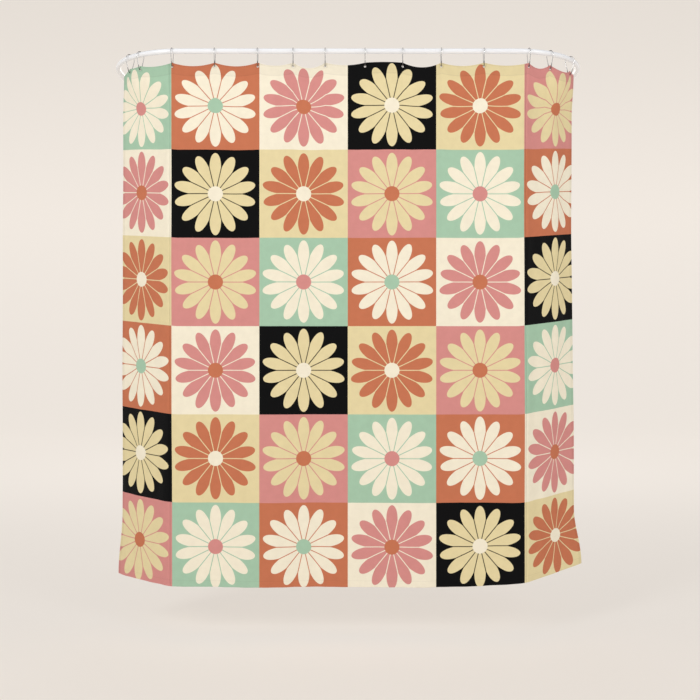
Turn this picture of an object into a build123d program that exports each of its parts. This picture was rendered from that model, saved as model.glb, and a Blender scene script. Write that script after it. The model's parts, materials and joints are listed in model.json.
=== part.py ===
from build123d import *
import os
from math import asin, cos, degrees, pi, sin

# A fabric shower curtain on fourteen wire rings, with the U-shaped wall rail that the rings run on.
# Millimetres. +Z is up, the curtain faces -Y, and the wall is the plane Y = 0. The origin is on the wall,
# midway between the two rail ends, at the height of the rail's centreline.

# rail: a round tube in three lengths, straight across the front and bent back to the wall at each end
half_straight = 605.0
bend_radius = 275.0
rail_depth = 720.0
tube_radius = 9.5
tube_wall = 1.0
rail_half_width = half_straight + bend_radius

# a sleeve inside the tube joins the front length to each bent length
splice_x = 565.0
sleeve_length = 70.0
sleeve_wall = 1.5
slide_in_gap = 0.05
grub_radius = 2.0
grub_gap = 0.05
grub_from_splice = 18.0

# wall flange at each end, with three wall screws
plate_radius = 30.0
plate_thickness = 5.0
collar_radius = 14.0
collar_length = 22.0
screw_circle = 44.0
screw_count = 3
screw_radius = 2.0
screw_neck_radius = 1.5
screw_neck_reach = 0.5
screw_hole_radius = 2.25
screw_reach = 35.0
screw_head_radius = 3.9
screw_head_height = 2.4
slot_width = 0.9
slot_depth = 1.0
edge_round = 1.5

# rings: one pear-shaped loop of wire each, hung over the tube and through a buttonhole
wire_radius = 1.4
ring_top_radius = 18.0
ring_low_radius = 7.0
ring_lift = 0.3
ring_top = tube_radius + ring_lift + wire_radius
ring_bottom = -54.5
ring_places = [-819, -761, -630, -477, -323, -196, -81, 62, 197, 335, 488, 650, 736, 850]

# curtain: the flat sheet is 1803 wide and 1880 high (71 x 74 in), and hangs under the rail's centreline
curtain_width = 1803.0
curtain_height = 1880.0
curtain_top = -41.0
return_from = 640.0
sheet_thickness = 1.2
hem_thickness = 2.4
top_hem_height = 40.0
bottom_hem_height = 25.0
side_hem_width = 12.0
body_gap = 0.3
buttonhole_radius = 3.2

curtain_bottom = curtain_top - curtain_height
top_hem_bottom = curtain_top - top_hem_height
bottom_hem_top = curtain_bottom + bottom_hem_height
edge = curtain_width / 2
hem_start = edge - side_hem_width
bend_y = bend_radius - rail_depth
buttonhole_z = ring_bottom - (buttonhole_radius - wire_radius - body_gap)

os.makedirs("parts", exist_ok=True)


def save(part, name):
    part.label = name
    export_step(part, f"parts/{name}.step")


def bend_angle(place):
    """Degrees round the bend of a place, which is a distance along the rail from the middle."""
    return degrees(max(0.0, abs(place) - half_straight) / bend_radius)


def across_rail(place, z=0.0):
    """The plane square to the rail at a place: its x is level and points back, its y is up."""
    side = 1 if place > 0 else -1
    turn = bend_angle(place) * pi / 180
    x = side * (min(abs(place), half_straight) + bend_radius * sin(turn))
    y = bend_y - bend_radius * cos(turn)
    along = (cos(turn), side * sin(turn), 0)
    back = (-side * sin(turn), cos(turn), 0)
    return Plane(origin=(x, y, z), x_dir=back, z_dir=along)


def rail_line(start, end):
    """The rail's centreline from one place to another, drawn in the current BuildLine."""
    if start < -half_straight:
        last = min(end, -half_straight)
        sweep_angle = bend_angle(start) - bend_angle(last)
        CenterArc((-half_straight, bend_y), bend_radius, -90 - bend_angle(start), sweep_angle)
    if start < half_straight and end > -half_straight:
        Line((max(start, -half_straight), -rail_depth), (min(end, half_straight), -rail_depth))
    if end > half_straight:
        first = max(start, half_straight)
        sweep_angle = bend_angle(end) - bend_angle(first)
        CenterArc((half_straight, bend_y), bend_radius, -90 + bend_angle(first), sweep_angle)


def tube_section(plane, outer, wall):
    with BuildSketch(plane) as section:
        Circle(outer)
        Circle(outer - wall, mode=Mode.SUBTRACT)
    return section.sketch


def grub_hole(x, radius):
    """Cuts a grub screw's hole in the underside of the current part."""
    with BuildSketch(Plane.XY) as hole:
        with Locations((x, -rail_depth)):
            Circle(radius)
    extrude(hole.sketch, amount=-tube_radius - 1, mode=Mode.SUBTRACT)


def rail_front():
    start = Plane(origin=(-splice_x, -rail_depth, 0), x_dir=(0, 1, 0), z_dir=(1, 0, 0))
    with BuildPart() as tube:
        extrude(tube_section(start, tube_radius, tube_wall), amount=2 * splice_x)
        for side in (-1, 1):
            grub_hole(side * (splice_x - grub_from_splice), grub_radius + grub_gap)
    save(tube.part, "rail_front")


def rail_end(side, name):
    """A bent length: a short straight, the bend and the leg that ends in the wall flange."""
    start = Plane(origin=(side * splice_x, -rail_depth, 0), x_dir=(0, 1, 0), z_dir=(side, 0, 0))
    with BuildPart() as tube:
        with BuildLine() as path:
            Line((side * splice_x, -rail_depth), (side * half_straight, -rail_depth))
            CenterArc((side * half_straight, bend_y), bend_radius, -90, side * 90)
            Line((side * rail_half_width, bend_y), (side * rail_half_width, -plate_thickness))
        sweep(tube_section(start, tube_radius, tube_wall), path=path.line)
        grub_hole(side * (splice_x + grub_from_splice), grub_radius + grub_gap)
    save(tube.part, name)


def splice_sleeve(side, name):
    start = side * splice_x - sleeve_length / 2
    plane = Plane(origin=(start, -rail_depth, 0), x_dir=(0, 1, 0), z_dir=(1, 0, 0))
    outer = tube_radius - tube_wall - slide_in_gap
    with BuildPart() as sleeve:
        extrude(tube_section(plane, outer, sleeve_wall), amount=sleeve_length)
        for way in (-1, 1):
            grub_hole(side * splice_x + way * grub_from_splice, grub_radius + grub_gap)
    save(sleeve.part, name)


def splice_screws():
    """Four grub screws, flush with the underside of the tube so that the rings pass over them."""
    tip = tube_radius - tube_wall - slide_in_gap - sleeve_wall
    with BuildPart() as screws:
        with BuildSketch(Plane.XY.offset(-tip)):
            for side in (-1, 1):
                for way in (-1, 1):
                    with Locations((side * splice_x + way * grub_from_splice, -rail_depth)):
                        Circle(grub_radius)
        extrude(amount=-(tube_radius - 0.3 - tip))
    save(screws.part, "splice_screws")


def wall_plane(side, off_wall=0.0):
    """The plane of a flange, facing away from the wall."""
    return Plane(origin=(side * rail_half_width, -off_wall, 0), x_dir=(1, 0, 0), z_dir=(0, -1, 0))


def flange(side, name):
    collar_middle = plate_thickness + collar_length / 2
    with BuildPart() as body:
        with BuildSketch(wall_plane(side)):
            Circle(plate_radius)
            with PolarLocations(screw_circle / 2, screw_count, start_angle=90):
                Circle(screw_hole_radius, mode=Mode.SUBTRACT)
        extrude(amount=plate_thickness)
        rim = body.edges().filter_by(GeomType.CIRCLE).sort_by(SortBy.RADIUS)[-2:].sort_by(Axis.Y)[0]
        fillet(rim, edge_round)
        with BuildSketch(wall_plane(side, plate_thickness)):
            Circle(collar_radius)
            Circle(tube_radius + slide_in_gap, mode=Mode.SUBTRACT)
        extrude(amount=collar_length)
        with BuildSketch(Plane.XY.offset(-tube_radius)):
            with Locations((side * rail_half_width, -collar_middle)):
                Circle(grub_radius + grub_gap)
        extrude(amount=-collar_radius, mode=Mode.SUBTRACT)
    save(body.part, name)


def flange_screws():
    """One grub screw in each collar, bearing on the tube from below."""
    with BuildPart() as screws:
        with BuildSketch(Plane.XY.offset(-tube_radius)):
            for side in (-1, 1):
                with Locations((side * rail_half_width, -plate_thickness - collar_length / 2)):
                    Circle(grub_radius)
        extrude(amount=-(collar_radius - tube_radius - 0.5))
    save(screws.part, "flange_screws")


def wall_screws(side, name):
    """Three screws: a thread in the wall, a neck through the plate and a slotted head."""
    with BuildPart() as screws:
        with BuildSketch(wall_plane(side, -screw_reach)):
            with PolarLocations(screw_circle / 2, screw_count, start_angle=90):
                Circle(screw_radius)
        extrude(amount=screw_reach - screw_neck_reach)
        with BuildSketch(wall_plane(side, -screw_neck_reach)):
            with PolarLocations(screw_circle / 2, screw_count, start_angle=90):
                Circle(screw_neck_radius)
        extrude(amount=screw_neck_reach + plate_thickness)
        with BuildSketch(wall_plane(side, plate_thickness)):
            with PolarLocations(screw_circle / 2, screw_count, start_angle=90):
                Circle(screw_head_radius)
        extrude(amount=screw_head_height)
        with BuildSketch(wall_plane(side, plate_thickness + screw_head_height)):
            with PolarLocations(screw_circle / 2, screw_count, start_angle=90):
                Rectangle(3 * screw_head_radius, slot_width)
        extrude(amount=-slot_depth, mode=Mode.SUBTRACT)
    save(screws.part, name)


def wire_ring(place, name):
    """Two arcs joined by straight sides, wide over the tube and narrow in the buttonhole."""
    top_centre = ring_top - ring_top_radius
    low_centre = ring_bottom + ring_low_radius
    lean = asin((ring_top_radius - ring_low_radius) / (top_centre - low_centre))
    lean_degrees = degrees(lean)
    high = (ring_top_radius * cos(lean), top_centre - ring_top_radius * sin(lean))
    low = (ring_low_radius * cos(lean), low_centre - ring_low_radius * sin(lean))
    with BuildPart() as ring:
        with BuildLine(across_rail(place)) as loop:
            CenterArc((0, top_centre), ring_top_radius, -lean_degrees, 180 + 2 * lean_degrees)
            Line((-high[0], high[1]), (-low[0], low[1]))
            CenterArc((0, low_centre), ring_low_radius, 180 + lean_degrees, 180 - 2 * lean_degrees)
            Line(low, high)
        with BuildSketch(Plane(origin=loop.line @ 0, z_dir=loop.line % 0)) as section:
            Circle(wire_radius)
        sweep(section.sketch, path=loop.line)
    save(ring.part, name)


def strip(start, end, bottom, top, thickness, name):
    """A band of the curtain under the rail's centreline, with a buttonhole at each ring it carries."""
    with BuildPart() as band:
        with BuildSketch(Plane.XY.offset(bottom)):
            with BuildLine():
                rail_line(start, end)
            trace(line_width=thickness)
        extrude(amount=top - bottom)
        for place in ring_places:
            if start < place < end and top == curtain_top:
                square = across_rail(place, buttonhole_z)
                with BuildSketch(Plane(origin=square.origin, z_dir=square.x_dir)):
                    Circle(buttonhole_radius)
                extrude(amount=hem_thickness, both=True, mode=Mode.SUBTRACT)
    save(band.part, name)


def curtain():
    """The sheet hangs flat across the front and turns back with the rail at each end."""
    stretches = {
        "left": (-hem_start + body_gap, -return_from - body_gap),
        "front": (-return_from, return_from),
        "right": (return_from, hem_start - body_gap),
    }
    for where, (start, end) in stretches.items():
        strip(start, end, bottom_hem_top, top_hem_bottom, sheet_thickness, f"panel_{where}")
        strip(start, end, top_hem_bottom, curtain_top, hem_thickness, f"top_hem_{where}")
        strip(start, end, curtain_bottom, bottom_hem_top, hem_thickness, f"bottom_hem_{where}")
    strip(-edge, -hem_start, curtain_bottom, curtain_top, hem_thickness, "side_hem_left")
    strip(hem_start, edge, curtain_bottom, curtain_top, hem_thickness, "side_hem_right")


rail_front()
for side, where in ((-1, "left"), (1, "right")):
    rail_end(side, f"rail_{where}")
    splice_sleeve(side, f"splice_sleeve_{where}")
    flange(side, f"wall_flange_{where}")
    wall_screws(side, f"wall_screws_{where}")
splice_screws()
flange_screws()
for number, place in enumerate(ring_places, start=1):
    wire_ring(place, f"ring_{number:02d}")
curtain()
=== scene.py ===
import json
import math

import bpy
import numpy as np
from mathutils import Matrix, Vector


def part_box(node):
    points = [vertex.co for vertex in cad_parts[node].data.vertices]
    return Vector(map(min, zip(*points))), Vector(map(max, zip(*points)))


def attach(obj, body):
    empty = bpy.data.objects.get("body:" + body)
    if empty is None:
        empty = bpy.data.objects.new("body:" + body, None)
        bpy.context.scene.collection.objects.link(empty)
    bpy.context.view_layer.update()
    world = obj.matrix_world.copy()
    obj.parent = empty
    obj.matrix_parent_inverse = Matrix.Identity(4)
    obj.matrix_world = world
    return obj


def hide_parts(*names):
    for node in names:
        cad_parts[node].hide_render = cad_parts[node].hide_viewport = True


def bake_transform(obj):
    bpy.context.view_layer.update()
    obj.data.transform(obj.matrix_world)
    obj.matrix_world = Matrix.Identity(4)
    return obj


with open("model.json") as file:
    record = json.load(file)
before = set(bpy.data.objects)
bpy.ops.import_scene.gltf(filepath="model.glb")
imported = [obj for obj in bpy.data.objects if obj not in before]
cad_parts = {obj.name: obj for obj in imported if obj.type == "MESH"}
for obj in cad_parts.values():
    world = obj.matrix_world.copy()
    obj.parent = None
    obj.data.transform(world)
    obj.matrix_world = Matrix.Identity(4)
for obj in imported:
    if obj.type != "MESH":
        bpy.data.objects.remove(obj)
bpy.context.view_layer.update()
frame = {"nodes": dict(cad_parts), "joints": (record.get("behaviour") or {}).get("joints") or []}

# Metres. The printed face looks towards -Y, and the origin is on the wall at the height of the rail.
# A place on the cloth is (s, h): s runs along the cloth from its middle, +s to the right, and h runs down
# from the top edge. A place on the rail is its s alone.

# ---------------------------------------------------------------- sizes

def joint(name):
    return next(j for j in frame["joints"] if j["name"] == name)


def middle(node):
    low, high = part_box(node)
    return [(a + b) / 2 for a, b in zip(low, high)]


BEND_X, BEND_Y = joint("right_end_draw")["pos_m"][:2]
RAIL_Y = middle("rail_front")[1]
BEND_R = BEND_Y - RAIL_Y
SEAM_X = (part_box("bottom_hem_front")[1][0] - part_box("bottom_hem_front")[0][0]) / 2
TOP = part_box("side_hem_left")[1][2]
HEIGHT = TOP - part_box("side_hem_left")[0][2]
EDGE = 1.803 / 2        # from the middle of the flat cloth to either side edge
SEAM = BEND_X + BEND_R * math.asin((SEAM_X - BEND_X) / BEND_R)
FLOOR_Z = -2.10


def rail_place(point):
    """How far along the rail a point on it is from the middle."""
    side = 1 if point[0] > 0 else -1
    over = abs(point[0]) - BEND_X
    if over <= 0:
        return point[0]
    return side * (BEND_X + BEND_R * math.atan2(over, BEND_Y - point[1]))


RINGS = [f"ring_{n:02d}" for n in range(1, 15)]
RING_S = [rail_place(middle(name)) for name in RINGS]

# the cloth's make
TILE = 0.3165           # one square of the print
TILE_START_H = 0.005    # how far above the top edge the first row of squares begins
SHEET_T = 0.0006
HEM_T = 0.0016
TOP_HEM = 0.040
BOTTOM_HEM = 0.025
SIDE_HEM = 0.012
FOLD_RIDGE = 0.0012     # width of the step where a hem's second layer ends
HOLE_R = 0.0040
HOLE_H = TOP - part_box("ring_06")[0][2] - 0.0016

# the mesh: how wide its columns are, and how high its rows are near the rings and below them
COLUMN_PITCH = 0.0085
TOP_PITCH = 0.006
ROW_PITCH = 0.016

# how the cloth hangs: the top edge's drop in each gap between two rings, left to right
SAGS = [0.003, 0.009, 0.015, 0.012, 0.013, 0.018, 0.011, -0.003, 0.020, 0.011, 0.013, 0.016, 0.018]

# where each return leaves the front, how far it turns back, and over what width of cloth it turns
PANEL_START = 0.612
PANEL_TURN = math.radians(39.5)
PANEL_SOFT = 0.045
# the direction that the top edge takes past the end rings
FREE_TURN = math.radians(62)

# ---------------------------------------------------------------- camera, light and stage

def make_camera():
    data = bpy.data.cameras.new("camera")
    data.lens = 50
    data.sensor_width = 36
    cam = bpy.data.objects.new("camera", data)
    bpy.context.scene.collection.objects.link(cam)
    cam.location = (0.008, RAIL_Y - 3.485, -1.071)
    cam.rotation_euler = (math.pi / 2, 0, 0)
    bpy.context.scene.camera = cam


def area_light(name, place, target, size, power, colour=(1, 1, 1)):
    data = bpy.data.lights.new(name, "AREA")
    data.shape = "RECTANGLE"
    data.size, data.size_y = size
    data.energy = power
    data.color = colour
    light = bpy.data.objects.new(name, data)
    bpy.context.scene.collection.objects.link(light)
    light.location = place
    light.visible_camera = False
    aim = [b - a for a, b in zip(place, target)]
    flat = math.hypot(aim[0], aim[1])
    light.rotation_euler = (math.atan2(flat, -aim[2]), 0, math.atan2(aim[1], aim[0]) - math.pi / 2)


def make_light():
    world = bpy.data.worlds.new("studio")
    world.use_nodes = True
    tree = world.node_tree
    # even light all round, with a darker ceiling for the wires to reflect
    split = tree.nodes.new("ShaderNodeSeparateXYZ")
    tree.links.new(tree.nodes.new("ShaderNodeTexCoord").outputs["Generated"], split.inputs[0])
    ramp = tree.nodes.new("ShaderNodeValToRGB")
    tree.links.new(split.outputs[2], ramp.inputs[0])
    around, ceiling = ramp.color_ramp.elements
    around.position, around.color = 0.45, (0.86, 0.86, 0.86, 1)
    ceiling.position, ceiling.color = 0.80, (0.35, 0.36, 0.38, 1)
    tree.links.new(ramp.outputs[0], tree.nodes["Background"].inputs[0])
    tree.nodes["Background"].inputs[1].default_value = 0.74
    bpy.context.scene.world = world
    aim = (0, RAIL_Y, -1.1)
    area_light("key", (-3.0, -4.2, 1.3), aim, (1.6, 2.2), 74)
    area_light("fill", (2.9, -4.0, 0.4), aim, (2.0, 2.4), 44)
    area_light("top", (0, -1.2, 2.4), (0, RAIL_Y, -1.2), (2.4, 1.6), 12)
    area_light("back", (0, 5.5, 1.6), aim, (3.0, 3.0), 30)
    bpy.context.scene.view_settings.view_transform = "Standard"


def make_stage():
    """A pale floor that curves up into a pale backdrop, far enough behind to see the back of the object."""
    back_y, cove, front_y, half_x, up = 10.0, 3.0, -12.0, 14.0, 11.0
    profile = [(front_y, FLOOR_Z)]
    steps = 16
    for i in range(steps + 1):
        turn = math.pi / 2 * i / steps
        profile.append((back_y - cove + cove * math.sin(turn), FLOOR_Z + cove * (1 - math.cos(turn))))
    profile.append((back_y, FLOOR_Z + up))
    verts = [(x, y, z) for y, z in profile for x in (-half_x, half_x)]
    faces = [(2 * i, 2 * i + 1, 2 * i + 3, 2 * i + 2) for i in range(len(profile) - 1)]
    mesh = bpy.data.meshes.new("backdrop")
    mesh.from_pydata(verts, [], faces)
    mesh.shade_smooth()
    backdrop = bpy.data.objects.new("backdrop", mesh)
    bpy.context.scene.collection.objects.link(backdrop)
    mat = Nodes("backdrop")
    pale = linear(236, 229, 221)
    mat.shader.inputs["Base Color"].default_value = (*[c * 0.50 for c in pale], 1)
    _, depth, up = mat.parts(mat.add("ShaderNodeTexCoord").outputs["Object"])
    # painted shade: the backdrop glows with its own pale light, a little darker on the floor near the object
    # as a painted shadow, and darker high on the backdrop
    tone = mat.math("MULTIPLY", mat.ramp(depth, -1.5, 4.0, 0.78, 1.0), mat.ramp(up, 0.5, 4.5, 1.0, 0.86))
    mat.feed(mat.shader.inputs["Emission Color"], mat.mix(tone, (0, 0, 0, 1), (*pale, 1)))
    mat.shader.inputs["Emission Strength"].default_value = 0.705
    mat.shader.inputs["Roughness"].default_value = 0.95
    mesh.materials.append(mat.material)


# ---------------------------------------------------------------- node helpers

def linear(*rgb):
    """A screen colour, 0 to 255, as the linear numbers that a shader takes."""
    return tuple((c / 255 / 12.92) if c <= 10 else ((c / 255 + 0.055) / 1.055) ** 2.4 for c in rgb)


class Nodes:
    """A material with a Principled shader, and short calls for the nodes that feed it."""

    def __init__(self, name):
        self.material = bpy.data.materials.new(name)
        self.material.use_nodes = True
        self.tree = self.material.node_tree
        self.shader = self.tree.nodes["Principled BSDF"]

    def add(self, kind, **settings):
        node = self.tree.nodes.new(kind)
        for key, value in settings.items():
            setattr(node, key, value)
        return node

    def feed(self, socket, value):
        if isinstance(value, bpy.types.NodeSocket):
            self.tree.links.new(value, socket)
        else:
            socket.default_value = value

    def math(self, operation, a, b=0.0, clamp=False):
        node = self.add("ShaderNodeMath", operation=operation, use_clamp=clamp)
        self.feed(node.inputs[0], a)
        self.feed(node.inputs[1], b)
        return node.outputs[0]

    def ramp(self, value, low, high, out_low=0.0, out_high=1.0):
        """Goes smoothly from out_low to out_high as value goes from low to high."""
        node = self.add("ShaderNodeMapRange", interpolation_type="SMOOTHSTEP")
        for socket, v in zip(node.inputs, (value, low, high, out_low, out_high)):
            self.feed(socket, v)
        return node.outputs[0]

    def mix(self, factor, a, b, blend="MIX"):
        node = self.add("ShaderNodeMix", data_type="RGBA", blend_type=blend)
        self.feed(node.inputs[0], factor)
        self.feed(node.inputs[6], a)
        self.feed(node.inputs[7], b)
        return node.outputs[2]

    def parts(self, vector):
        """The x, y and z of a vector."""
        node = self.add("ShaderNodeSeparateXYZ")
        self.feed(node.inputs[0], vector)
        return list(node.outputs)

    def noise(self, vector, scale, detail=2.0, rough=0.5):
        node = self.add("ShaderNodeTexNoise")
        self.feed(node.inputs["Vector"], vector)
        node.inputs["Scale"].default_value = scale
        node.inputs["Detail"].default_value = detail
        node.inputs["Roughness"].default_value = rough
        return node.outputs[0]

    def random(self, x, y, z):
        """A fixed random number from 0 to 1 for each set of three whole numbers."""
        both = self.add("ShaderNodeCombineXYZ")
        for socket, v in zip(both.inputs, (x, y, z)):
            self.feed(socket, v)
        node = self.add("ShaderNodeTexWhiteNoise", noise_dimensions="3D")
        self.feed(node.inputs["Vector"], both.outputs[0])
        return node.outputs["Value"]

    def colour_of(self, attribute):
        return self.add("ShaderNodeAttribute", attribute_name=attribute).outputs["Color"]

    def bump(self, height, distance, strength=1.0):
        node = self.add("ShaderNodeBump")
        node.inputs["Strength"].default_value = strength
        node.inputs["Distance"].default_value = distance
        self.feed(node.inputs["Height"], height)
        self.feed(self.shader.inputs["Normal"], node.outputs[0])


# ---------------------------------------------------------------- materials

CREAM = linear(252, 243, 220)
CLAY = linear(205, 122, 88)
SAND = linear(237, 221, 172)
PINK = linear(220, 147, 142)
MINT = linear(172, 206, 178)
BLACK = linear(7, 7, 8)
# each kind of square: its ground, its petals and its flower's heart
SQUARES = [(MINT, CREAM, PINK), (CLAY, CREAM, MINT), (CREAM, PINK, CLAY),
           (BLACK, SAND, CREAM), (SAND, CLAY, CREAM), (PINK, SAND, CLAY)]
UNDYED = linear(240, 236, 228)
SHOW_THROUGH = 0.42

# a plain daisy: egg-shaped petals round a round heart
PETALS = 14
PETAL_IN, PETAL_OUT = 0.010, 0.148
PETAL_HALF = 0.0190     # half a petal's width at its middle
PETAL_EGG = 0.38        # how much wider its outer end is than its inner end
PETAL_APART = 0.0030    # the least gap between two petals
HEART_R = 0.027
INK_EDGE = 0.0004       # half the width over which one ink gives way to the next
WEAVE_PITCH = 0.0011
STITCH_PITCH = 0.0042


def daisy(m, x, y, square):
    """How much of the petals' and of the heart's ink a point of a square has, from its place in the square.
    square is the square's column and row, and each petal's length strays by them."""
    reach = m.math("SQRT", m.math("ADD", m.math("MULTIPLY", x, x), m.math("MULTIPLY", y, y)))
    turn = m.math("DIVIDE", m.math("ARCTAN2", y, x), 2 * math.pi)
    spoke = m.math("MULTIPLY", m.math("ADD", turn, 1.0), PETALS)
    petal = m.math("MODULO", m.math("FLOOR", spoke), PETALS)
    stray = m.math("SUBTRACT", m.random(square[0], petal, square[1]), 0.5)

    # along runs from -1 to 1 over a petal's length, and arc is the way round to its middle line
    half_length = m.math("ADD", (PETAL_OUT - PETAL_IN) / 2, m.math("MULTIPLY", stray, 0.005))
    along = m.math("DIVIDE", m.math("SUBTRACT", reach, (PETAL_OUT + PETAL_IN) / 2), half_length)
    aside = m.math("ABSOLUTE", m.math("SUBTRACT", m.math("FRACT", spoke), 0.5))
    arc = m.math("MULTIPLY", m.math("MULTIPLY", aside, 2 * math.pi / PETALS), reach)

    rest = m.math("MAXIMUM", m.math("SUBTRACT", 1.0, m.math("MULTIPLY", along, along)), 0.0)
    egg = m.math("ADD", m.math("MULTIPLY", along, PETAL_EGG), 1.0)
    half_width = m.math("MULTIPLY", m.math("MULTIPLY", m.math("SQRT", rest), egg), PETAL_HALF)
    share = m.math("MULTIPLY", reach, math.pi / PETALS)
    half_width = m.math("MINIMUM", half_width, m.math("SUBTRACT", share, PETAL_APART / 2))

    in_petal = m.ramp(m.math("SUBTRACT", arc, half_width), -INK_EDGE, INK_EDGE, 1.0, 0.0)
    in_petal = m.math("MULTIPLY", in_petal, m.math("LESS_THAN", m.math("ABSOLUTE", along), 1.0))
    return in_petal, m.ramp(reach, HEART_R - INK_EDGE, HEART_R + INK_EDGE, 1.0, 0.0)


def hem_stitches(m, s, h):
    """How much of a point is stitching: a dashed line a little inside each fold's edge."""
    inside = 0.0025
    side = m.math("ABSOLUTE", s)
    lines = [(h, s, TOP_HEM - inside), (h, s, inside * 1.4), (h, s, HEIGHT - BOTTOM_HEM + inside),
             (side, h, EDGE - SIDE_HEM + inside)]
    total = 0.0
    for across, along, place in lines:
        near = m.math("ABSOLUTE", m.math("SUBTRACT", across, place))
        dash = m.math("FRACT", m.math("DIVIDE", along, STITCH_PITCH))
        stitch = m.math("MULTIPLY", m.ramp(near, 0.0003, 0.0008, 1.0, 0.0), m.ramp(dash, 0.62, 0.74, 1.0, 0.0))
        total = m.math("MAXIMUM", total, stitch)
    return total


def print_material():
    """Woven cloth with a printed check of daisies, drawn from where each point is on the flat cloth."""
    m = Nodes("printed_cloth")
    flat = m.add("ShaderNodeUVMap", uv_map="flat").outputs[0]
    s, h, _ = m.parts(flat)
    column = m.math("DIVIDE", s, TILE)
    row = m.math("DIVIDE", m.math("ADD", h, TILE_START_H), TILE)
    square = m.math("FLOOR", column), m.math("FLOOR", row)
    x = m.math("MULTIPLY", m.math("SUBTRACT", m.math("FRACT", column), 0.5), TILE)
    y = m.math("MULTIPLY", m.math("SUBTRACT", m.math("FRACT", row), 0.5), TILE)
    in_petal, in_heart = daisy(m, x, y, square)
    ink = m.mix(in_petal, m.colour_of("ground"), m.colour_of("petal"))
    ink = m.mix(in_heart, ink, m.colour_of("heart"))
    mottle = m.noise(flat, 34.0, 4.0, 0.6)
    ink = m.mix(m.ramp(mottle, 0.3, 0.7, 0.0, 0.06), ink, (0.35, 0.3, 0.26, 1), "MULTIPLY")

    # plain weave: warp and weft take turns on top
    per_metre = 2 * math.pi / WEAVE_PITCH
    warp = m.math("SINE", m.math("MULTIPLY", s, per_metre))
    weft = m.math("SINE", m.math("MULTIPLY", h, per_metre))
    weave = m.math("MULTIPLY", warp, weft)
    slub = m.noise(flat, 260.0, 3.0, 0.6)
    thread = m.math("ADD", m.math("MULTIPLY", weave, 0.5), m.math("MULTIPLY", slub, 0.8))
    # painted shade: the cloth is a little darker where the weave dips
    ink = m.mix(m.ramp(weave, -1.0, 1.0, 0.05, 0.0), ink, (0.5, 0.46, 0.42, 1), "MULTIPLY")

    stitches = hem_stitches(m, s, h)
    # painted shade: the cloth is a little darker along the stitch lines
    ink = m.mix(m.math("MULTIPLY", stitches, 0.22), ink, (0.30, 0.27, 0.24, 1), "MULTIPLY")
    # two layers let less light through than one, so the top and side hems look a little deeper
    single = m.math("MULTIPLY", m.ramp(h, TOP_HEM, TOP_HEM + FOLD_RIDGE),
                    m.ramp(m.math("ABSOLUTE", s), EDGE - SIDE_HEM - FOLD_RIDGE, EDGE - SIDE_HEM, 1.0, 0.0))
    deeper = m.math("SUBTRACT", 0.07, m.math("MULTIPLY", single, 0.07))
    ink = m.mix(deeper, ink, (0.2, 0.18, 0.15, 1), "MULTIPLY")

    m.feed(m.shader.inputs["Base Color"], ink)
    m.shader.inputs["Roughness"].default_value = 0.82
    m.shader.inputs["Sheen Weight"].default_value = 0.03
    m.shader.inputs["Sheen Roughness"].default_value = 0.5
    m.shader.inputs["Specular IOR Level"].default_value = 0.12
    m.bump(m.math("ADD", thread, m.math("MULTIPLY", stitches, 2.2)), 0.00025, 0.55)
    return m.material


def metal_material(name, colour, roughness, scale, painted_shade_colour=None):
    """Plated wire or steel, with faint drawing marks and a slightly uneven polish. When its colour is given,
    painted shade and dark reflection darken the wire near its top, where it crosses over the tube, and where
    it goes through the cloth."""
    m = Nodes(name)
    place = m.add("ShaderNodeTexCoord").outputs["Object"]
    marks = m.noise(place, scale, 5.0, 0.65)
    m.shader.inputs["Base Color"].default_value = (*colour, 1)
    # painted shade and dark reflection: a dark colour on the wire over the tube and where it goes through the
    # cloth
    if painted_shade_colour:
        up = m.math("ADD", m.parts(place)[2], m.math("MULTIPLY", marks, 0.002))
        painted_shade_mask = m.math("MAXIMUM", m.ramp(up, 0.006, 0.013), m.ramp(up, TOP, TOP + 0.008, 1.0, 0.0))
        m.feed(m.shader.inputs["Base Color"], m.mix(painted_shade_mask, (*colour, 1), (*painted_shade_colour, 1)))
    m.shader.inputs["Metallic"].default_value = 1.0
    m.feed(m.shader.inputs["Roughness"], m.ramp(marks, 0.3, 0.75, roughness * 0.7, roughness * 1.5))
    m.bump(marks, 0.00006, 0.3)
    return m.material


def enamel_material():
    """Glossy white enamel on the tube, with a faint orange-peel."""
    m = Nodes("white_enamel")
    place = m.add("ShaderNodeTexCoord").outputs["Object"]
    peel = m.noise(place, 420.0, 2.0, 0.5)
    tone = m.noise(place, 9.0, 3.0, 0.5)
    m.feed(m.shader.inputs["Base Color"],
           m.mix(tone, (*linear(242, 243, 247), 1), (*linear(249, 250, 252), 1)))
    m.feed(m.shader.inputs["Roughness"], m.ramp(tone, 0.3, 0.7, 0.2, 0.3))
    m.shader.inputs["Coat Weight"].default_value = 0.6
    m.shader.inputs["Coat Roughness"].default_value = 0.08
    m.bump(peel, 0.00008, 0.35)
    return m.material


# ---------------------------------------------------------------- how the cloth hangs

def smooth(t):
    t = np.clip(t, 0, 1)
    return t * t * (3 - 2 * t)


def rail_frame(s):
    """Points under the rail at places s, as x and y, and the level direction that the print faces."""
    side = np.sign(s)
    turn = np.maximum(np.abs(s) - BEND_X, 0) / BEND_R
    x = side * (np.minimum(np.abs(s), BEND_X) + BEND_R * np.sin(turn))
    y = BEND_Y - BEND_R * np.cos(turn)
    return x, y, side * np.sin(turn), -np.cos(turn)


def waves(s, h, seed, count, longest, shortest, lean):
    """Broad soft folds: sine waves across the cloth that lean and fade unevenly on the way down."""
    rng = np.random.default_rng(seed)
    total = np.zeros(np.broadcast(s, h).shape)
    for _ in range(count):
        length = rng.uniform(shortest, longest)
        phase, tilt, grow = rng.uniform(0, 2 * np.pi), rng.uniform(-lean, lean), rng.uniform(0.4, 1.0)
        total += np.sin(2 * np.pi * (s + tilt * h) / length + phase) * (grow + (1 - grow) * h / HEIGHT)
    return total / math.sqrt(count)


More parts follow.
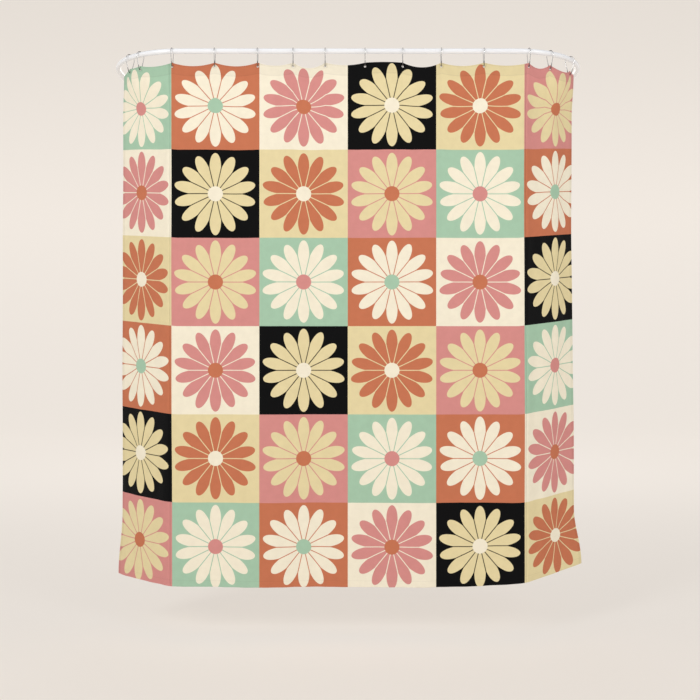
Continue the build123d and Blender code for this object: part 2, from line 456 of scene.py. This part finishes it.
def free_ends(s, x, y):
    """Past the end rings the top edge hangs free, and turns back more sharply than the rail."""
    side = np.sign(s)
    end_s = np.where(s > 0, RING_S[-1], -RING_S[0])
    over = np.maximum(np.abs(s) - end_s, 0)
    end_turn = (end_s - BEND_X) / BEND_R
    free_x = side * (BEND_X + BEND_R * np.sin(end_turn) + over * math.cos(FREE_TURN))
    free_y = BEND_Y - BEND_R * np.cos(end_turn) + over * math.sin(FREE_TURN)
    return np.where(over > 0, free_x, x), np.where(over > 0, free_y, y)


def return_panels(s):
    """Points and facing of the cloth well below the rings, where each return is a nearly flat panel."""
    side = np.sign(s)
    past = np.maximum(np.abs(s) - PANEL_START, 0)
    turn = PANEL_TURN * np.minimum(past / PANEL_SOFT, 1)
    soft_r = PANEL_SOFT / PANEL_TURN
    flat_part = np.maximum(past - PANEL_SOFT, 0)
    x = side * (PANEL_START + soft_r * np.sin(turn) + flat_part * math.cos(PANEL_TURN))
    y = RAIL_Y + soft_r * (1 - np.cos(turn)) + flat_part * math.sin(PANEL_TURN)
    return x, y, side * np.sin(turn), -np.cos(turn)


def free_corners(s, h):
    """How far the free ends swing outwards and hang short, most of all at their bottom corners."""
    out = np.clip((np.abs(s) - PANEL_START) / (EDGE - PANEL_START), 0, 1)
    right = s > 0
    low = h / HEIGHT
    swing = np.where(right, 0.008 * smooth((low - 0.25) / 0.5), 0.003 * smooth(low / 0.1))
    swing += np.where(right, 0.026, 0.016) * smooth((low - 0.88) / 0.12)
    lift = np.where(right, 0.043 - 0.026 * low, 0.038 - 0.026 * low) * out * smooth(h / 0.30)
    lift += np.where(right, 0.018, 0.0) * out ** 2 * smooth((low - 0.80) / 0.20)
    lift += np.where(right, 0.014, 0.0) * smooth((np.abs(s) - 0.40) / 0.26) * smooth((low - 0.84) / 0.16)
    return out ** 1.5 * swing, lift


def hang(s, h):
    """The middle of the cloth's thickness at flat places (s, h), as x, y and z."""
    ring_s, sags = np.array(RING_S), np.array(SAGS)
    gap = np.clip(np.searchsorted(ring_s, s) - 1, 0, len(SAGS) - 1)
    width = ring_s[gap + 1] - ring_s[gap]
    t = (s - ring_s[gap]) / width
    arch = np.where((t > 0) & (t < 1), 4 * t * (1 - t), 0.0)
    # beyond the end rings the corner droops a little
    beyond = np.maximum(np.abs(s) - np.abs(np.where(s > 0, ring_s[-1], ring_s[0])), 0)
    drop = sags[gap] * arch + 0.10 * beyond
    drop *= np.exp(-h / 0.13)

    # between rings the slack leans to the front or the back, and runs down as a fading fold
    way = np.where(gap % 2 == 0, 1.0, -0.7)
    bulge = way * np.abs(sags[gap]) * 0.55 * arch * (0.25 + 0.75 * np.exp(-h / 0.45))
    at_rings = 1 - np.exp(-h / 0.10)
    fold = bulge + at_rings * 0.0042 * waves(s, h, 4, 5, 0.52, 0.19, 0.10)
    fold += at_rings * 0.0014 * waves(s, h, 9, 5, 0.17, 0.07, 0.14)
    low = smooth((h - 0.25 * HEIGHT) / (0.75 * HEIGHT))
    fold += 0.006 * low * waves(s, h, 15, 3, 0.60, 0.30, 0.05)

    x, y, nx, ny = rail_frame(s)
    x, y = free_ends(s, x, y)
    panel = return_panels(s)
    share = smooth((h - 0.018) / 0.16) * (np.abs(s) > PANEL_START)
    x, y, nx, ny = (near + (below - near) * share for near, below in zip((x, y, nx, ny), panel))
    swing, lift = free_corners(s, h)
    x = x + np.sign(s) * swing
    return np.stack([x + nx * fold, y + ny * fold, TOP - h - drop + lift], axis=-1)


# ---------------------------------------------------------------- the cloth's mesh

def fill(hard, pitch):
    """The hard lines, and even lines between them no further apart than pitch allows at each place."""
    lines = [hard[0]]
    for a, b in zip(hard, hard[1:]):
        if b - a < 1e-6:
            continue
        n = max(1, math.ceil((b - a) / pitch((a + b) / 2)))
        lines += [a + (b - a) * i / n for i in range(1, n + 1)]
    return np.array(lines)


def columns(start, end):
    hard = [start, end]
    hard += [k * TILE for k in range(-2, 3)]
    for side in (-1, 1):
        hard += [side * (EDGE - SIDE_HEM), side * (EDGE - SIDE_HEM - FOLD_RIDGE), side * (EDGE - 0.001)]
    for place in RING_S:
        hard += [place - HOLE_R, place, place + HOLE_R]
    hard = sorted(v for v in hard if start - 1e-9 <= v <= end + 1e-9)
    return fill(hard, lambda v: COLUMN_PITCH)


def rows():
    hard = [0, 0.001, HOLE_H - HOLE_R, HOLE_H, HOLE_H + HOLE_R, TOP_HEM, TOP_HEM + FOLD_RIDGE]
    hard += [k * TILE - TILE_START_H for k in range(1, 6)]
    hard += [HEIGHT - BOTTOM_HEM - FOLD_RIDGE, HEIGHT - BOTTOM_HEM, HEIGHT - 0.001, HEIGHT]
    return fill(sorted(hard), lambda v: TOP_PITCH if v < 0.16 else ROW_PITCH)


def thickness(s, h):
    hemmed = (h <= TOP_HEM + 1e-6) | (h >= HEIGHT - BOTTOM_HEM - 1e-6) | (np.abs(s) >= EDGE - SIDE_HEM - 1e-6)
    edge = (h < 0.0005) | (h > HEIGHT - 0.0005) | (np.abs(s) > EDGE - 0.0005)
    return np.where(edge, SHEET_T, np.where(hemmed, HEM_T, SHEET_T))


def inks_at(s, h, reverse):
    """The three inks of the square at a flat place, in a check of six columns and six rows whose kinds
    step along each row and shift from row to row. On the reverse only some of the dye shows."""
    column = min(max(math.floor(s / TILE) + 3, 0), 5)
    row = min(max(math.floor((h + TILE_START_H) / TILE), 0), 5)
    inks = SQUARES[(column + 2 * row + row // 3) % len(SQUARES)]
    if not reverse:
        return inks
    return [tuple(UNDYED[i] * (1 - SHOW_THROUGH) + ink[i] * SHOW_THROUGH for i in range(3)) for ink in inks]


def paint(mesh, cells):
    """Gives each face the inks of its cell, a flat place and whether it is on the reverse."""
    for which, key in enumerate(("ground", "petal", "heart")):
        layer = mesh.color_attributes.new(name=key, type="FLOAT_COLOR", domain="CORNER")
        values = []
        for cell, face in zip(cells, mesh.polygons):
            values += [(*inks_at(*cell)[which], 1.0)] * face.loop_total
        layer.data.foreach_set("color", np.array(values, np.float32).ravel())


def sheet_mesh(name, start, end):
    """One stretch of the cloth as a closed mesh, with its buttonholes, its flat places as UVs and each
    face's three inks as colours."""
    s_lines, h_lines = columns(start, end), rows()
    s, h = np.meshgrid(s_lines, h_lines, indexing="ij")
    for place in RING_S:
        for i in np.flatnonzero(np.abs(np.abs(s_lines - place) - HOLE_R) < 1e-6):
            for j in np.flatnonzero(np.abs(np.abs(h_lines - HOLE_H) - HOLE_R) < 1e-6):
                s[i, j] = place + (s[i, j] - place) * math.sqrt(0.5)
                h[i, j] = HOLE_H + (h[i, j] - HOLE_H) * math.sqrt(0.5)
    step = 0.0005
    here = hang(s, h)
    across = hang(s + step, h) - hang(s - step, h)
    down = hang(s, h + step) - hang(s, h - step)
    normal = np.cross(down, across)
    normal /= np.linalg.norm(normal, axis=-1, keepdims=True)
    half = SHEET_T / 2
    front = here + normal * half
    back = here - normal * (thickness(s, h) - half)[..., None]

    n_s, n_h = s.shape
    number = np.arange(n_s * n_h).reshape(n_s, n_h)
    both = n_s * n_h
    open_cell = np.zeros((n_s - 1, n_h - 1), bool)
    mid_s, mid_h = (s_lines[1:] + s_lines[:-1]) / 2, (h_lines[1:] + h_lines[:-1]) / 2
    for place in RING_S:
        open_cell |= (np.abs(mid_s - place) < HOLE_R)[:, None] & (np.abs(mid_h - HOLE_H) < HOLE_R)[None, :]
    faces, cells = [], []

    def closed(i, j):
        return 0 <= i < n_s - 1 and 0 <= j < n_h - 1 and not open_cell[i, j]

    for i in range(n_s - 1):
        for j in range(n_h - 1):
            if open_cell[i, j]:
                continue
            place = (mid_s[i], mid_h[j])
            a, b, c, d = number[i, j], number[i, j + 1], number[i + 1, j + 1], number[i + 1, j]
            faces += [(a, b, c, d), (a + both, d + both, c + both, b + both)]
            cells += [(*place, False), (*place, True)]
            for (p, q), beside in (((a, b), (i - 1, j)), ((b, c), (i, j + 1)),
                                   ((c, d), (i + 1, j)), ((d, a), (i, j - 1))):
                if not closed(*beside):
                    faces.append((q, p, p + both, q + both))
                    cells.append((*place, False))
    points = np.concatenate([front.reshape(-1, 3), back.reshape(-1, 3)])
    used = np.unique(np.array([v for f in faces for v in f]))
    renumber = np.full(len(points), -1)
    renumber[used] = np.arange(len(used))
    mesh = bpy.data.meshes.new(name)
    mesh.from_pydata(points[used].tolist(), [], [tuple(int(renumber[v]) for v in f) for f in faces])
    flat = np.concatenate([np.stack([s, h], -1).reshape(-1, 2)] * 2)[used]
    corner = np.empty(len(mesh.loops), dtype=np.int32)
    mesh.loops.foreach_get("vertex_index", corner)
    layer = mesh.uv_layers.new(name="flat")
    layer.data.foreach_set("uv", flat[corner].astype(np.float32).ravel())
    paint(mesh, cells)
    mesh.shade_smooth()
    return mesh


def stitched_hole(place):
    """The raised thread round one buttonhole, as points and faces: a flat ring on each face of the hem."""
    around, outer, raised = 20, HOLE_R + 0.0018, 0.0004
    section = [(HOLE_R - 0.0002, 0.0), (HOLE_R + 0.0003, raised), (outer - 0.0005, raised), (outer, 0.0)]
    points, flats, faces = [], [], []
    for side in (1, -1):
        first = len(points)
        for k in range(around):
            turn = 2 * math.pi * k / around
            uneven = 1 + 0.05 * math.sin(5 * turn + 40 * place)
            for r, up in section:
                s = place + r * math.cos(turn) * uneven
                h = HOLE_H + r * math.sin(turn) * uneven
                depth = up + (SHEET_T / 2 if side > 0 else HEM_T - SHEET_T / 2)
                point = hang(np.array(s), np.array(h))
                _, _, nx, ny = rail_frame(np.array(s))
                points.append((point[0] + side * nx * depth, point[1] + side * ny * depth, point[2]))
                flats.append((s, h))
        n = len(section)
        for k in range(around):
            for i in range(n):
                a, b = first + k * n + i, first + k * n + (i + 1) % n
                c, d = first + (k + 1) % around * n + (i + 1) % n, first + (k + 1) % around * n + i
                faces.append((a, b, c, d) if side < 0 else (d, c, b, a))
    return points, flats, faces


def buttonhole_mesh(name, start, end):
    points, flats, faces = [], [], []
    for place in RING_S:
        if start < place < end:
            more = stitched_hole(place)
            first = len(points)
            points += more[0]
            flats += more[1]
            faces += [tuple(v + first for v in f) for f in more[2]]
    mesh = bpy.data.meshes.new(name)
    mesh.from_pydata([tuple(map(float, p)) for p in points], [], faces)
    layer = mesh.uv_layers.new(name="flat")
    for loop in mesh.loops:
        layer.data[loop.index].uv = flats[loop.vertex_index]
    cells = []
    for face in mesh.polygons:
        place = flats[face.vertices[0]]
        cells.append((*place, face.normal.y > 0))
    paint(mesh, cells)
    mesh.shade_smooth()
    return mesh


def place_piece(mesh, material):
    piece = bpy.data.objects.new(mesh.name, mesh)
    bpy.context.scene.collection.objects.link(piece)
    mesh.materials.append(material)
    return piece


def make_cloth():
    cloth = print_material()
    # level lines from each seam to its end ring, so that the cloth bends the same way at every height
    stretches = {
        "left": (-EDGE, -SEAM, ["side_hem_left"]),
        "front": (-SEAM, SEAM, []),
        "right": (SEAM, EDGE, ["side_hem_right"]),
    }
    for where, (start, end, side_hems) in stretches.items():
        sheet = place_piece(sheet_mesh(f"sheet_{where}", start, end), cloth)
        holes = place_piece(buttonhole_mesh(f"buttonholes_{where}", start, end), cloth)
        for piece in (sheet, holes):
            if where == "front":
                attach(piece, "rail")
            elif where == "left":
                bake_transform(piece)
            else:
                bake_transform(piece)
        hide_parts(f"panel_{where}", f"top_hem_{where}", f"bottom_hem_{where}", *side_hems)


# ---------------------------------------------------------------- the carried-over nodes

def dress(nodes, material):
    for name in nodes:
        node = frame["nodes"][name]
        node.data.materials.clear()
        node.data.materials.append(material)


def dress_frame():
    # the nickel wire's dark colour is painted shade and dark reflection, at its top and where it goes through
    # the cloth
    nickel = metal_material("nickel_wire", (0.66, 0.65, 0.64), 0.18, 900.0, painted_shade_colour=(0.16, 0.15, 0.15))
    zinc = metal_material("zinc_steel", (0.56, 0.56, 0.55), 0.34, 700.0)
    enamel = enamel_material()
    dress(RINGS, nickel)
    dress([n for n in frame["nodes"] if n.startswith(("rail_", "wall_flange"))], enamel)
    dress([n for n in frame["nodes"] if n.startswith(("splice_", "flange_screws", "wall_screws"))], zinc)


make_camera()
make_light()
make_stage()
make_cloth()
dress_frame()
